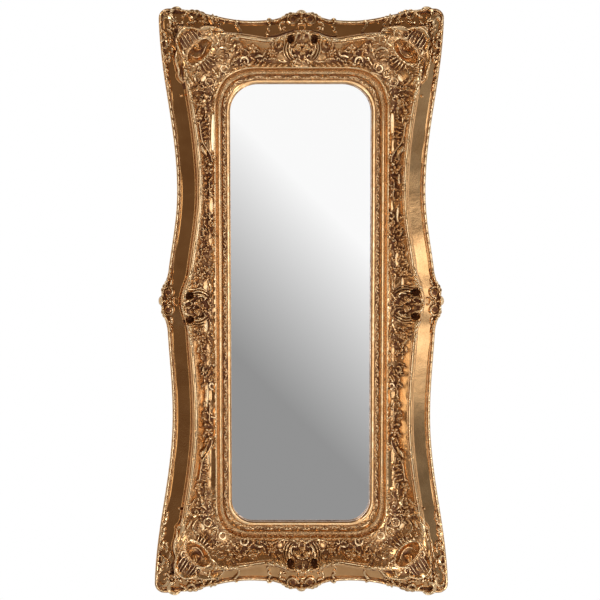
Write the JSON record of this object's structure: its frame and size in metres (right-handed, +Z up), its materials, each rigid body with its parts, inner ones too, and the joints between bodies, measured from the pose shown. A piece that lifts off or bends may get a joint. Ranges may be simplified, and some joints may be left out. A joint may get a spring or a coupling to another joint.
{
  "type": "wall mirror",
  "caption": "Tall wall mirror with rounded corners, in a wide swept frame carved with leaves, shells and flowers, antique gilt.",
  "frame": {"origin": "middle of the back board's rear face, the face that rests on the wall, half way across and near half way up the frame", "axes": "+X to the right as seen from the front, +Y into the wall, +Z up; the mirror faces -Y"},
  "size_m": [0.9002, 0.1164, 1.798],
  "materials": {
    "antique_gilt": "carved wood and cast composition, gilt, burnished on the high parts and toned red-brown in the hollows",
    "silvered_glass": "flat silvered glass",
    "backing_board": "plain brown fibre board",
    "plate_steel": "zinc-plated steel sheet"
  },
  "bodies": {
    "root": {"carved_frame": "antique_gilt", "mirror_glass": "silvered_glass", "back_board": "backing_board", "hanging_plate_left": "plate_steel", "hanging_plate_right": "plate_steel"}
  },
  "joints": []
}
